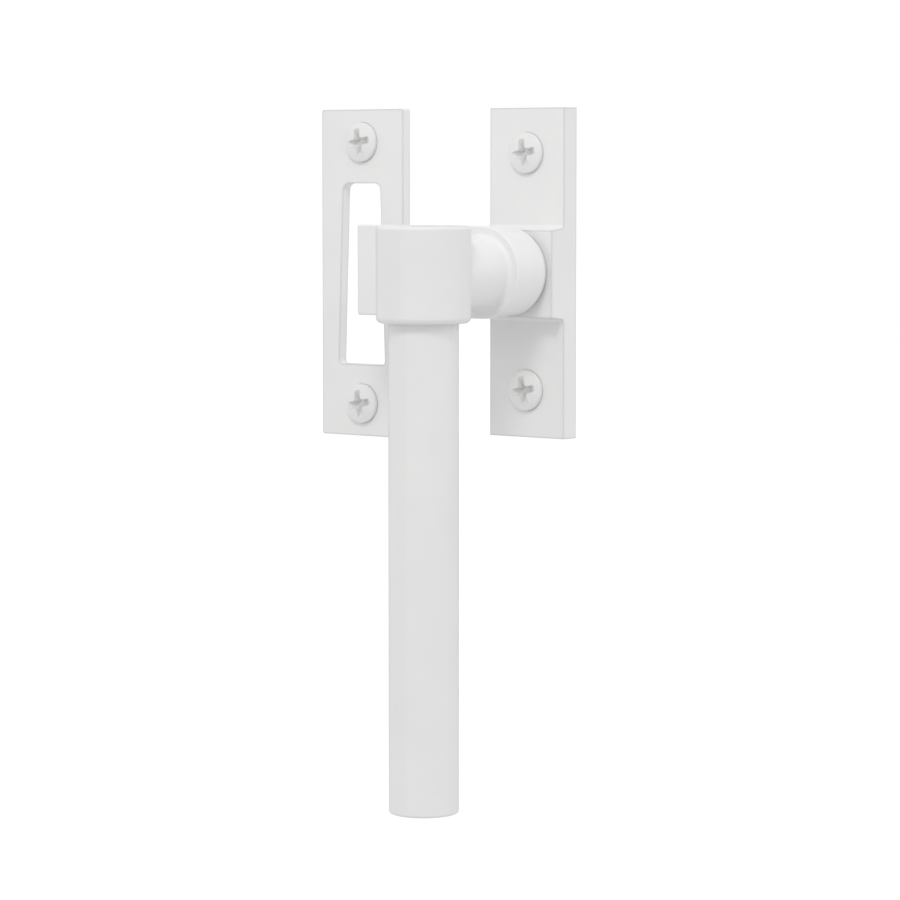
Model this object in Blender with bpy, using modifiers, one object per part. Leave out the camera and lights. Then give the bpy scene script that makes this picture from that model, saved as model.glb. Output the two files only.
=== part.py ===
"""White casement handle with its nose, back plate and strike plate.

Frame: the origin is where the turning axis meets the rear face of the back plate.
+X runs along the window face to the right, -Y points into the room and +Z is up.
The handle turns about the Y axis. Every length below is in millimetres.
"""

import math

import bmesh
import bpy
from mathutils import Vector

MM = 0.001
GAP = 0.3
# How far a cutter runs past the face it opens
CUT_MARGIN = 1.0

# Back plate with its raised boss and the round land that carries the hub
PLATE_WIDTH = 20.4
PLATE_HEIGHT = 71.8
PLATE_THICKNESS = 4.45
PLATE_DROP = 0.45
PLATE_EDGE = 0.3
BOSS_HEIGHT = 19.9
BOSS_DEPTH = 4.3
BOSS_DRAFT = 0.5
BOSS_FRONT = PLATE_THICKNESS + BOSS_DEPTH
LAND_RADIUS = 8.75
LAND_HEIGHT = 0.9
LAND_FRONT = BOSS_FRONT + LAND_HEIGHT
PLATE_SCREW_SPACING = 51.7
PLATE_SCREW_DROP = 0.2

# Strike plate
STRIKE_WIDTH = 24.1
STRIKE_HEIGHT = 74.1
STRIKE_THICKNESS = 2.5
STRIKE_CORNER = 0.5
STRIKE_EDGE = 0.3
STRIKE_X = -48.9
STRIKE_Z = -1.4
STRIKE_SCREW_SPACING = 59.3
SLOT_TOP_WIDTH = 11.0
SLOT_BOTTOM_WIDTH = 13.7
SLOT_HEIGHT = 41.1
SLOT_DROP = 0.2
SLOT_SHIFT = -0.2
SLOT_CORNER = 1.0

# Cam body: hub, nose and neck in one casting
HUB_RADIUS = 10.0
HUB_BACK = LAND_FRONT + GAP
HUB_FRONT = 20.05
HUB_EDGE = 0.7
NOSE_REACH = 35.3
NOSE_CORNER = 0.5
NECK_RADIUS = 7.6
NECK_ROOT = 2.0

# Handle head and grip
HEAD_RADIUS = 10.05
HEAD_HEIGHT = 20.4
HEAD_EDGE = 0.9
HEAD_DISTANCE = 39.7
GRIP_RADIUS = 7.45
GRIP_BOTTOM = -114.4
GRIP_EDGE = 0.8
GRIP_SOCKET_DEPTH = 4.7

# Spindle
SPINDLE_RADIUS = 3.5
SPINDLE_REAR = 0.2
SPINDLE_FRONT = 45.0
SPINDLE_SQUARE = 7.2
SPINDLE_EDGE = 0.3

# Parts in the counterbore behind the boss, each a start and a thickness from the rear face
COUNTERBORE_RADIUS = 7.5
COUNTERBORE_DEPTH = 4.9
WASHER_OUTER = 7.0
WASHER_INNER = SPINDLE_RADIUS + GAP
RING_START = 1.15
RING_THICKNESS = 0.7
RING_OUTER = 5.6
RING_INNER = 2.9
RING_OPENING = math.radians(70.0)
RING_GROOVE_RADIUS = 2.6
RING_GROOVE_GAP = 0.25
STEEL_WASHER_START = 2.1
STEEL_WASHER_THICKNESS = 0.5
WAVE_WASHER_START = 2.85
WAVE_WASHER_THICKNESS = 0.3
WAVE_HEIGHT = 0.5
WAVE_COUNT = 3
NYLON_WASHER_START = 3.9
NYLON_WASHER_THICKNESS = 0.7

# Pivot bush through the boss, and the nylon washer in a recess in the land's front face
BUSH_RADIUS = 5.0
BUSH_BORE = SPINDLE_RADIUS + 0.1
FRONT_WASHER_OUTER = 5.7
FRONT_WASHER_THICKNESS = 0.8
FRONT_WASHER_START = LAND_FRONT - FRONT_WASHER_THICKNESS
BUSH_FRONT = FRONT_WASHER_START - GAP

# Stop pin in the boss and its curved groove in the back of the hub
STOP_ORBIT = 7.4
STOP_PIN_RADIUS = 0.8
STOP_PIN_START = 5.5
STOP_PIN_END = HUB_BACK + 1.3
STOP_GROOVE_DEPTH = 1.9
TURN_RANGE = math.radians(90.0)

# Bolt down through the head and the spindle into the grip
BOLT_RADIUS = 2.0
BOLT_HEAD_RADIUS = 3.8
BOLT_HEAD_BOTTOM = 6.1
BOLT_HEAD_HEIGHT = 2.2
BOLT_HEAD_CHAMFER = 0.8
BOLT_TIP_CHAMFER = 0.5
BOLT_SOCKET_RADIUS = 1.5
BOLT_SOCKET_DEPTH = 1.3
BOLT_BOTTOM = -24.0
BOLT_HOLE_SPARE = 2.0
BOLT_WASHER_BOTTOM = 5.3
BOLT_WASHER_THICKNESS = 0.5
HEAD_POCKET_FLOOR = 5.0
HEAD_CAP_RADIUS = 5.0
HEAD_CAP_BOTTOM = 8.6
HEAD_CAP_TOP = 10.0
HEAD_CAP_EDGE = 0.3
HEAD_CAP_FOOT_EDGE = 0.2

# Raised countersunk wood screws
SCREW_HEAD_RADIUS = 4.45
SCREW_RIM_HEIGHT = 0.5
SCREW_DOME_HEIGHT = 1.2
SCREW_SINK_DEPTH = 2.2
SCREW_SHANK_RADIUS = 1.9
SCREW_LENGTH = 15.0
SCREW_TIP_LENGTH = 4.0
SCREW_CROSS_LENGTH = 6.2
SCREW_CROSS_WIDTH = 1.2
SCREW_CROSS_DEPTH = 1.4
SCREW_CROSS_TURN = math.radians(11.0)

ROUND_STEPS = 40
SMALL_STEPS = 20
ARC_STEP = math.radians(9.0)
MERGE_DISTANCE = 0.00001
SHARP_ANGLE = math.radians(35.0)

# Turned pieces on the Y axis: local Z becomes the distance in front of the rear face
FACING_ROOM = (math.radians(90.0), 0.0, 0.0)
# Outlines drawn as seen from the side: local X is forward, local Y is up
SIDE_ON = (math.radians(90.0), 0.0, math.radians(-90.0))
UPRIGHT = (0.0, 0.0, 0.0)


# ---------------------------------------------------------------- scene and materials

def clear_scene():
    for obj in list(bpy.data.objects):
        bpy.data.objects.remove(obj, do_unlink=True)


def make_collection(name):
    collection = bpy.data.collections.new(name)
    bpy.context.scene.collection.children.link(collection)
    return collection


def make_material(name, colour, roughness, metallic):
    material = bpy.data.materials.new(name)
    material.use_nodes = True
    shader = material.node_tree.nodes["Principled BSDF"]
    shader.inputs["Base Color"].default_value = (*colour, 1.0)
    shader.inputs["Roughness"].default_value = roughness
    shader.inputs["Metallic"].default_value = metallic
    material.diffuse_color = (*colour, 1.0)
    return material


def add_empty(name, location=(0.0, 0.0, 0.0)):
    empty = bpy.data.objects.new(name, None)
    empty.location = Vector(location) * MM
    PARTS.objects.link(empty)
    return empty


def place(obj, location, rotation, parent=None):
    obj.location = Vector(location) * MM
    obj.rotation_euler = rotation
    obj.parent = parent


# ---------------------------------------------------------------- shape makers

def object_from_bmesh(name, bm, collection):
    mesh = bpy.data.meshes.new(name)
    bm.to_mesh(mesh)
    bm.free()
    obj = bpy.data.objects.new(name, mesh)
    collection.objects.link(obj)
    return obj


def box(name, size, collection):
    bm = bmesh.new()
    bmesh.ops.create_cube(bm, size=1.0)
    bmesh.ops.scale(bm, vec=Vector(size) * MM, verts=bm.verts)
    return object_from_bmesh(name, bm, collection)


def cylinder(name, radius, start, end, collection, steps=ROUND_STEPS):
    """A cylinder on local Z from start to end."""
    bm = bmesh.new()
    bmesh.ops.create_cone(
        bm, cap_ends=True, segments=steps,
        radius1=radius * MM, radius2=radius * MM, depth=(end - start) * MM)
    bmesh.ops.translate(bm, vec=(0.0, 0.0, (start + end) / 2 * MM), verts=bm.verts)
    obj = object_from_bmesh(name, bm, collection)
    obj.data.shade_smooth()
    obj.data.set_sharp_from_angle(angle=SHARP_ANGLE)
    return obj


def turned(name, profile, collection, steps=ROUND_STEPS, closed=False):
    """A profile of (radius, height) points, top to bottom on its outer side, turned about Z."""
    bm = bmesh.new()
    verts = [bm.verts.new((radius * MM, 0.0, height * MM)) for radius, height in profile]
    for first, second in zip(verts, verts[1:]):
        bm.edges.new((first, second))
    if closed:
        bm.edges.new((verts[-1], verts[0]))
    obj = object_from_bmesh(name, bm, collection)
    screw = obj.modifiers.new("turn", "SCREW")
    screw.steps = steps
    screw.render_steps = steps
    screw.use_merge_vertices = True
    screw.merge_threshold = MERGE_DISTANCE
    screw.use_smooth_shade = True
    return obj


def mesh_copy(source, name, collection):
    """A plain mesh of an object as it is evaluated, in the same place; the source is removed."""
    graph = bpy.context.evaluated_depsgraph_get()
    graph.update()
    mesh = bpy.data.meshes.new_from_object(source.evaluated_get(graph))
    bm = bmesh.new()
    bm.from_mesh(mesh)
    bmesh.ops.remove_doubles(bm, verts=bm.verts, dist=MERGE_DISTANCE)
    bm.to_mesh(mesh)
    bm.free()
    mesh.shade_smooth()
    mesh.set_sharp_from_angle(angle=SHARP_ANGLE)
    mesh.name = name
    matrix = source.matrix_world.copy()
    bpy.data.objects.remove(source, do_unlink=True)
    copy = bpy.data.objects.new(name, mesh)
    copy.matrix_world = matrix
    collection.objects.link(copy)
    return copy


def flat_outline(name, loops, start, end, collection):
    """Closed outlines in the local XY plane, filled and made solid from start to end on Z."""
    curve = bpy.data.curves.new(name, "CURVE")
    curve.dimensions = "2D"
    curve.fill_mode = "BOTH"
    curve.extrude = (end - start) / 2 * MM
    for loop in loops:
        spline = curve.splines.new("POLY")
        spline.points.add(len(loop) - 1)
        for point, (x, y) in zip(spline.points, loop):
            point.co = (x * MM, y * MM, 0.0, 1.0)
        spline.use_cyclic_u = True
    drawn = bpy.data.objects.new(name + "_outline", curve)
    collection.objects.link(drawn)
    solid = mesh_copy(drawn, name, collection)
    middle = (start + end) / 2 * MM
    for vertex in solid.data.vertices:
        vertex.co.z += middle
    return solid


def arc(centre, radius, start, end):
    """Points along an arc, at steps of about ARC_STEP, both ends included."""
    steps = max(2, round(abs(end - start) / ARC_STEP))
    angles = [start + (end - start) * i / steps for i in range(steps + 1)]
    return [(centre[0] + radius * math.cos(a), centre[1] + radius * math.sin(a)) for a in angles]


def rounded_loop(corners, radius, steps=4):
    """A polygon whose corners are replaced by tangent arcs of one radius."""
    points = []
    count = len(corners)
    for i, corner in enumerate(corners):
        here = Vector(corner)
        back = (Vector(corners[i - 1]) - here).normalized()
        ahead = (Vector(corners[(i + 1) % count]) - here).normalized()
        half = back.angle(ahead) / 2
        centre = here + (back + ahead).normalized() * (radius / math.sin(half))
        start = here + back * (radius / math.tan(half)) - centre
        finish = here + ahead * (radius / math.tan(half)) - centre
        turn = start.angle_signed(finish)
        for step in range(steps + 1):
            angle = -turn * step / steps
            x = start.x * math.cos(angle) - start.y * math.sin(angle)
            y = start.x * math.sin(angle) + start.y * math.cos(angle)
            points.append((centre.x + x, centre.y + y))
    return points


def curved_slot(orbit, half_width, start, end):
    """A slot with round ends that follows an arc about the origin."""
    outer = arc((0.0, 0.0), orbit + half_width, start, end)
    inner = arc((0.0, 0.0), orbit - half_width, end, start)
    end_centre = (orbit * math.cos(end), orbit * math.sin(end))
    start_centre = (orbit * math.cos(start), orbit * math.sin(start))
    end_cap = arc(end_centre, half_width, end, end + math.pi)
    start_cap = arc(start_centre, half_width, start + math.pi, start + math.tau)
    return outer + end_cap[1:-1] + inner + start_cap[1:-1]


def round_edges(obj, width, segments=2):
    bevel = obj.modifiers.new("edges", "BEVEL")
    bevel.width = width * MM
    bevel.segments = segments
    bevel.limit_method = "ANGLE"
    bevel.angle_limit = SHARP_ANGLE


def combine(obj, tool, operation):
    """Join or cut obj with a tool that sits in obj's own parent space."""
    tool.hide_render = True
    tool.display_type = "WIRE"
    boolean = obj.modifiers.new(tool.name, "BOOLEAN")
    boolean.operation = operation
    boolean.solver = "EXACT"
    boolean.object = tool


def cut(obj, tool):
    combine(obj, tool, "DIFFERENCE")


def join(obj, tool):
    combine(obj, tool, "UNION")


def use(obj, material):
    obj.data.materials.clear()
    obj.data.materials.append(material)
    return obj


# ---------------------------------------------------------------- screws

def raised_screw(name, x, front, z, parent, paint):
    """A countersunk screw whose rim and low dome stand proud of the face at distance front."""
    dome_centre = (SCREW_DOME_HEIGHT ** 2 - SCREW_HEAD_RADIUS ** 2) / (2 * SCREW_DOME_HEIGHT)
    dome_radius = SCREW_DOME_HEIGHT - dome_centre
    dome_steps = 5
    profile = []
    for step in range(dome_steps + 1):
        radius = SCREW_HEAD_RADIUS * step / dome_steps
        rise = dome_centre + math.sqrt(dome_radius ** 2 - radius ** 2)
        profile.append((radius, SCREW_RIM_HEIGHT + rise))
    profile.append((SCREW_HEAD_RADIUS, 0.0))
    profile.append((SCREW_SHANK_RADIUS, -SCREW_SINK_DEPTH))
    profile.append((SCREW_SHANK_RADIUS, SCREW_TIP_LENGTH - SCREW_LENGTH))
    profile.append((0.0, -SCREW_LENGTH))
    screw = use(turned(name, profile, PARTS, SMALL_STEPS), paint)
    place(screw, (x, -front, z), FACING_ROOM, parent)
    for arm in range(2):
        size = (SCREW_CROSS_LENGTH, SCREW_CROSS_WIDTH, 2 * CUT_MARGIN)
        slot = box(f"{name}_cross_{arm}", size, CUTTERS)
        middle = front + SCREW_RIM_HEIGHT + SCREW_DOME_HEIGHT - SCREW_CROSS_DEPTH + CUT_MARGIN
        turn = SCREW_CROSS_TURN + arm * math.pi / 2
        place(slot, (x, -middle, z), (FACING_ROOM[0], -turn, 0.0), parent)
        cut(screw, slot)


def screw_hole(obj, name, x, front, z, parent):
    """A clearance hole with a countersink that leaves a gap all round the screw."""
    slope = (SCREW_HEAD_RADIUS - SCREW_SHANK_RADIUS) / SCREW_SINK_DEPTH
    profile = [
        (0.0, CUT_MARGIN),
        (SCREW_HEAD_RADIUS + GAP + CUT_MARGIN * slope, CUT_MARGIN),
        (SCREW_SHANK_RADIUS + GAP, -SCREW_SINK_DEPTH),
        (SCREW_SHANK_RADIUS + GAP, -front - CUT_MARGIN),
        (0.0, -front - CUT_MARGIN),
    ]
    tool = turned(name, profile, CUTTERS, SMALL_STEPS)
    place(tool, (x, -front, z), FACING_ROOM, parent)
    cut(obj, tool)


# ---------------------------------------------------------------- fixed pieces

def make_back_plate(white):
    half = PLATE_HEIGHT / 2
    root = BOSS_HEIGHT / 2
    face = root - BOSS_DRAFT
    side = [
        (0.0, -half), (PLATE_THICKNESS, -half), (PLATE_THICKNESS, -root), (BOSS_FRONT, -face),
        (BOSS_FRONT, face), (PLATE_THICKNESS, root), (PLATE_THICKNESS, half), (0.0, half),
    ]
    plate = flat_outline("back_plate", [side], -PLATE_WIDTH / 2, PLATE_WIDTH / 2, PARTS)
    use(plate, white)
    place(plate, (0.0, 0.0, -PLATE_DROP), SIDE_ON)
    round_edges(plate, PLATE_EDGE)
    land = cylinder("land", LAND_RADIUS, PLATE_THICKNESS, LAND_FRONT, CUTTERS)
    place(land, (0.0, 0.0, 0.0), FACING_ROOM)
    join(plate, land)
    tools = [
        cylinder("counterbore", COUNTERBORE_RADIUS, -CUT_MARGIN, COUNTERBORE_DEPTH, CUTTERS),
        cylinder("bush_hole", BUSH_RADIUS + GAP, COUNTERBORE_DEPTH - CUT_MARGIN,
                 LAND_FRONT + CUT_MARGIN, CUTTERS),
        cylinder("washer_recess", FRONT_WASHER_OUTER + GAP, BUSH_FRONT,
                 LAND_FRONT + 2 * CUT_MARGIN, CUTTERS),
    ]
    for tool in tools:
        place(tool, (0.0, 0.0, 0.0), FACING_ROOM)
        cut(plate, tool)
    pin_hole = cylinder("stop_pin_hole", STOP_PIN_RADIUS + GAP, STOP_PIN_START - GAP,
                        LAND_FRONT + CUT_MARGIN, CUTTERS, SMALL_STEPS)
    place(pin_hole, (0.0, 0.0, STOP_ORBIT), FACING_ROOM)
    cut(plate, pin_hole)
    for label, z in plate_screw_heights():
        screw_hole(plate, f"plate_screw_hole_{label}", 0.0, PLATE_THICKNESS, z, None)


def plate_screw_heights():
    half = PLATE_SCREW_SPACING / 2
    return (("upper", half - PLATE_SCREW_DROP), ("lower", -half - PLATE_SCREW_DROP))


def make_stop_pin(steel):
    pin = cylinder("stop_pin", STOP_PIN_RADIUS, STOP_PIN_START, STOP_PIN_END, PARTS, SMALL_STEPS)
    use(pin, steel)
    place(pin, (0.0, 0.0, STOP_ORBIT), FACING_ROOM)


def make_strike_plate(white):
    frame = add_empty("strike_frame", (STRIKE_X, 0.0, STRIKE_Z))
    wide, tall = STRIKE_WIDTH / 2, STRIKE_HEIGHT / 2
    outer = [(-wide, -tall), (wide, -tall), (wide, tall), (-wide, tall)]
    low, high = -SLOT_HEIGHT / 2 - SLOT_DROP, SLOT_HEIGHT / 2 - SLOT_DROP
    narrow, broad = SLOT_TOP_WIDTH / 2, SLOT_BOTTOM_WIDTH / 2
    slot = [
        (SLOT_SHIFT - broad, low), (SLOT_SHIFT + broad, low),
        (SLOT_SHIFT + narrow, high), (SLOT_SHIFT - narrow, high),
    ]
    loops = [rounded_loop(outer, STRIKE_CORNER), rounded_loop(slot, SLOT_CORNER)]
    plate = flat_outline("strike_plate", loops, 0.0, STRIKE_THICKNESS, PARTS)
    use(plate, white)
    place(plate, (0.0, 0.0, 0.0), FACING_ROOM, frame)
    round_edges(plate, STRIKE_EDGE, 1)
    for label, side_sign in (("upper", 1), ("lower", -1)):
        z = side_sign * STRIKE_SCREW_SPACING / 2
        screw_hole(plate, f"strike_screw_hole_{label}", 0.0, STRIKE_THICKNESS, z, frame)
        raised_screw(f"strike_plate_screw_{label}", 0.0, STRIKE_THICKNESS, z, frame, white)


def make_plate_screws(white):
    for label, z in plate_screw_heights():
        raised_screw(f"back_plate_screw_{label}", 0.0, PLATE_THICKNESS, z, None, white)


# ---------------------------------------------------------------- pieces that turn

def make_cam_body(white, pivot):
    """Nose, hub and neck: the nose reaches to the strike side, the hub is a half round."""
    right_side = arc((0.0, 0.0), HUB_RADIUS, -math.pi / 2, math.pi / 2)
    top_corner = (-NOSE_REACH + NOSE_CORNER, HUB_RADIUS - NOSE_CORNER)
    low_corner = (top_corner[0], -top_corner[1])
    outline = right_side
    outline += arc(top_corner, NOSE_CORNER, math.pi / 2, math.pi)
    outline += arc(low_corner, NOSE_CORNER, math.pi, math.pi * 1.5)
    body = flat_outline("cam_body", [outline], HUB_BACK, HUB_FRONT, PARTS)
    use(body, white)
    place(body, (0.0, 0.0, 0.0), FACING_ROOM, pivot)
    round_edges(body, HUB_EDGE)
    neck_end = HEAD_DISTANCE - HEAD_RADIUS / 2
    neck = cylinder("neck", NECK_RADIUS, HUB_FRONT - NECK_ROOT, neck_end, CUTTERS)
    place(neck, (0.0, 0.0, 0.0), FACING_ROOM, pivot)
    join(body, neck)
    head_room = cylinder("head_room", HEAD_RADIUS + GAP, -HEAD_HEIGHT, HEAD_HEIGHT, CUTTERS)
    place(head_room, (0.0, -HEAD_DISTANCE, 0.0), UPRIGHT, pivot)
    cut(body, head_room)
    width = SPINDLE_SQUARE + 2 * GAP
    depth = HUB_FRONT - HUB_BACK + CUT_MARGIN
    square = box("square_hole", (width, width, depth), CUTTERS)
    place(square, (0.0, -(HUB_FRONT - depth / 2), 0.0), FACING_ROOM, pivot)
    cut(body, square)
    bore = cylinder("neck_bore", SPINDLE_RADIUS + GAP, HUB_FRONT - CUT_MARGIN, HEAD_DISTANCE, CUTTERS)
    place(bore, (0.0, 0.0, 0.0), FACING_ROOM, pivot)
    cut(body, bore)
    rest_angle = math.pi / 2
    groove_loop = curved_slot(STOP_ORBIT, STOP_PIN_RADIUS + GAP, rest_angle - TURN_RANGE, rest_angle)
    groove = flat_outline("stop_groove", [groove_loop], HUB_BACK - CUT_MARGIN,
                          HUB_BACK + STOP_GROOVE_DEPTH, CUTTERS)
    place(groove, (0.0, 0.0, 0.0), FACING_ROOM, pivot)
    cut(body, groove)


def make_spindle(steel, pivot):
    ring_low = RING_START - RING_GROOVE_GAP
    ring_high = RING_START + RING_THICKNESS + RING_GROOVE_GAP
    profile = [
        (0.0, SPINDLE_FRONT),
        (SPINDLE_RADIUS - SPINDLE_EDGE, SPINDLE_FRONT),
        (SPINDLE_RADIUS, SPINDLE_FRONT - SPINDLE_EDGE),
        (SPINDLE_RADIUS, ring_high),
        (RING_GROOVE_RADIUS, ring_high),
        (RING_GROOVE_RADIUS, ring_low),
        (SPINDLE_RADIUS, ring_low),
        (SPINDLE_RADIUS, SPINDLE_REAR + SPINDLE_EDGE),
        (SPINDLE_RADIUS - SPINDLE_EDGE, SPINDLE_REAR),
        (0.0, SPINDLE_REAR),
    ]
    spindle = use(turned("spindle", profile, PARTS), steel)
    place(spindle, (0.0, 0.0, 0.0), FACING_ROOM, pivot)
    length = HUB_FRONT - HUB_BACK - 2 * GAP
    square = box("spindle_square", (SPINDLE_SQUARE, SPINDLE_SQUARE, length), CUTTERS)
    place(square, (0.0, -(HUB_BACK + HUB_FRONT) / 2, 0.0), FACING_ROOM, pivot)
    join(spindle, square)
    reach = SPINDLE_RADIUS + CUT_MARGIN
    hole = cylinder("spindle_cross_hole", BOLT_RADIUS + GAP, -reach, reach, CUTTERS, SMALL_STEPS)
    place(hole, (0.0, -HEAD_DISTANCE, 0.0), UPRIGHT, pivot)
    cut(spindle, hole)


def rounded_rod(radius, top, bottom, top_edge, bottom_edge, steps=3):
    """Profile of a solid rod whose two ends have quarter-round edges."""
    profile = [(0.0, top)]
    for step in range(steps + 1):
        angle = math.pi / 2 * (1 - step / steps)
        profile.append((radius - top_edge + top_edge * math.cos(angle),
                        top - top_edge + top_edge * math.sin(angle)))
    for step in range(steps + 1):
        angle = -math.pi / 2 * step / steps
        profile.append((radius - bottom_edge + bottom_edge * math.cos(angle),
                        bottom + bottom_edge + bottom_edge * math.sin(angle)))
    profile.append((0.0, bottom))
    return profile


def make_handle_head(white, pivot):
    half = HEAD_HEIGHT / 2
    profile = rounded_rod(HEAD_RADIUS, half, -half, HEAD_EDGE, HEAD_EDGE)
    head = use(turned("handle_head", profile, PARTS), white)
    place(head, (0.0, -HEAD_DISTANCE, 0.0), UPRIGHT, pivot)
    spindle_bore = cylinder("head_spindle_bore", SPINDLE_RADIUS + GAP,
                            HEAD_DISTANCE - HEAD_RADIUS - CUT_MARGIN, SPINDLE_FRONT + GAP, CUTTERS)
    place(spindle_bore, (0.0, 0.0, 0.0), FACING_ROOM, pivot)
    cut(head, spindle_bore)
    tools = [
        cylinder("grip_socket", GRIP_RADIUS + GAP, -half - CUT_MARGIN,
                 GRIP_SOCKET_DEPTH - half, CUTTERS),
        cylinder("bolt_pocket", HEAD_CAP_RADIUS + GAP, HEAD_POCKET_FLOOR,
                 half + CUT_MARGIN, CUTTERS),
        cylinder("bolt_hole", BOLT_RADIUS + GAP, -half, half, CUTTERS, SMALL_STEPS),
    ]
    for tool in tools:
        place(tool, (0.0, -HEAD_DISTANCE, 0.0), UPRIGHT, pivot)
        cut(head, tool)


def make_grip(white, pivot):
    top = GRIP_SOCKET_DEPTH - HEAD_HEIGHT / 2 - GAP
    profile = rounded_rod(GRIP_RADIUS, top, GRIP_BOTTOM, GRIP_EDGE, GRIP_EDGE)
    grip = use(turned("grip_bar", profile, PARTS), white)
    place(grip, (0.0, -HEAD_DISTANCE, 0.0), UPRIGHT, pivot)
    hole = cylinder("grip_thread_hole", BOLT_RADIUS + GAP, BOLT_BOTTOM - BOLT_HOLE_SPARE,
                    top + CUT_MARGIN, CUTTERS, SMALL_STEPS)
    place(hole, (0.0, -HEAD_DISTANCE, 0.0), UPRIGHT, pivot)
    cut(grip, hole)


def make_grip_bolt(steel, pivot):
    head_top = BOLT_HEAD_BOTTOM + BOLT_HEAD_HEIGHT
    profile = [
        (0.0, head_top),
        (BOLT_HEAD_RADIUS - BOLT_HEAD_CHAMFER, head_top),
        (BOLT_HEAD_RADIUS, head_top - BOLT_HEAD_CHAMFER),
        (BOLT_HEAD_RADIUS, BOLT_HEAD_BOTTOM),
        (BOLT_RADIUS, BOLT_HEAD_BOTTOM),
        (BOLT_RADIUS, BOLT_BOTTOM + BOLT_TIP_CHAMFER),
        (BOLT_RADIUS - BOLT_TIP_CHAMFER, BOLT_BOTTOM),
        (0.0, BOLT_BOTTOM),
    ]
    bolt = use(turned("grip_bolt", profile, PARTS, SMALL_STEPS), steel)
    place(bolt, (0.0, -HEAD_DISTANCE, 0.0), UPRIGHT, pivot)
    key = cylinder("bolt_hex_socket", BOLT_SOCKET_RADIUS, head_top - BOLT_SOCKET_DEPTH,
                   head_top + CUT_MARGIN, CUTTERS, 6)
    place(key, (0.0, -HEAD_DISTANCE, 0.0), UPRIGHT, pivot)
    cut(bolt, key)


def ring_profile(outer, inner, start, thickness):
    end = start + thickness
    return [(inner, end), (outer, end), (outer, start), (inner, start)]


def make_ring(name, outer, inner, start, thickness, material, location, rotation, pivot):
    profile = ring_profile(outer, inner, start, thickness)
    ring = use(turned(name, profile, PARTS, closed=True), material)
    place(ring, location, rotation, pivot)
    return ring


def make_wave_washer(steel, pivot):
    """A thin ring bent into waves round its circle."""
    flat = turned("wave_blank", ring_profile(WASHER_OUTER, WASHER_INNER, 0.0, WAVE_WASHER_THICKNESS),
                  CUTTERS, closed=True)
    washer = mesh_copy(flat, "wave_washer", PARTS)
    for vertex in washer.data.vertices:
        angle = math.atan2(vertex.co.y, vertex.co.x)
        rise = (1.0 + math.cos(WAVE_COUNT * angle)) / 2 * WAVE_HEIGHT
        vertex.co.z += (WAVE_WASHER_START + rise) * MM
    use(washer, steel)
    place(washer, (0.0, 0.0, 0.0), FACING_ROOM, pivot)


def make_retaining_ring(steel, pivot):
    """An open ring that snaps into the groove at the rear end of the spindle."""
    middle = (RING_OUTER + RING_INNER) / 2
    half_width = (RING_OUTER - RING_INNER) / 2
    open_centre = -math.pi / 2
    start = open_centre + RING_OPENING / 2
    end = open_centre + math.tau - RING_OPENING / 2
    loop = curved_slot(middle, half_width, start, end)
    ring = flat_outline("retaining_ring", [loop], RING_START, RING_START + RING_THICKNESS, PARTS)
    use(ring, steel)
    place(ring, (0.0, 0.0, 0.0), FACING_ROOM, pivot)


def make_boss_rings(bronze, nylon):
    axis = (0.0, 0.0, 0.0)
    make_ring("pivot_bush", BUSH_RADIUS, BUSH_BORE, COUNTERBORE_DEPTH,
              BUSH_FRONT - COUNTERBORE_DEPTH, bronze, axis, FACING_ROOM, None)
    make_ring("front_nylon_washer", FRONT_WASHER_OUTER, WASHER_INNER, FRONT_WASHER_START,
              FRONT_WASHER_THICKNESS, nylon, axis, FACING_ROOM, None)


def make_turning_rings(steel, nylon, pivot):
    axis = (0.0, 0.0, 0.0)
    make_ring("steel_washer", WASHER_OUTER, WASHER_INNER, STEEL_WASHER_START,
              STEEL_WASHER_THICKNESS, steel, axis, FACING_ROOM, pivot)
    make_ring("rear_nylon_washer", WASHER_OUTER, WASHER_INNER, NYLON_WASHER_START,
              NYLON_WASHER_THICKNESS, nylon, axis, FACING_ROOM, pivot)
    head_axis = (0.0, -HEAD_DISTANCE, 0.0)
    make_ring("bolt_washer", BOLT_HEAD_RADIUS + GAP, BOLT_RADIUS + GAP, BOLT_WASHER_BOTTOM,
              BOLT_WASHER_THICKNESS, steel, head_axis, UPRIGHT, pivot)


def make_head_cap(plastic, pivot):
    profile = rounded_rod(HEAD_CAP_RADIUS, HEAD_CAP_TOP, HEAD_CAP_BOTTOM,
                          HEAD_CAP_EDGE, HEAD_CAP_FOOT_EDGE, steps=2)
    cap = use(turned("head_cap", profile, PARTS), plastic)
    place(cap, (0.0, -HEAD_DISTANCE, 0.0), UPRIGHT, pivot)


def main():
    white = make_material("white_coating", (0.80, 0.80, 0.79), 0.42, 0.0)
    steel = make_material("zinc_steel", (0.62, 0.62, 0.60), 0.35, 1.0)
    bronze = make_material("bearing_bronze", (0.60, 0.43, 0.20), 0.38, 1.0)
    nylon = make_material("white_nylon", (0.78, 0.77, 0.72), 0.55, 0.0)
    make_back_plate(white)
    make_boss_rings(bronze, nylon)
    make_stop_pin(steel)
    make_plate_screws(white)
    make_strike_plate(white)
    pivot = add_empty("handle_pivot")
    make_cam_body(white, pivot)
    make_spindle(steel, pivot)
    make_handle_head(white, pivot)
    make_grip(white, pivot)
    make_grip_bolt(steel, pivot)
    make_turning_rings(steel, nylon, pivot)
    make_wave_washer(steel, pivot)
    make_retaining_ring(steel, pivot)
    make_head_cap(nylon, pivot)


clear_scene()
PARTS = make_collection("casement_handle")
CUTTERS = make_collection("cutters")
main()
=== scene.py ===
"""Looks of the white casement handle: fine meshes, coatings, studio light and camera.

Lengths are in millimetres unless a name or a comment says otherwise. The frame is the CAD's:
the handle turns about the Y axis through the origin, the room is at -Y and +Z is up.
"""

import math

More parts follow.
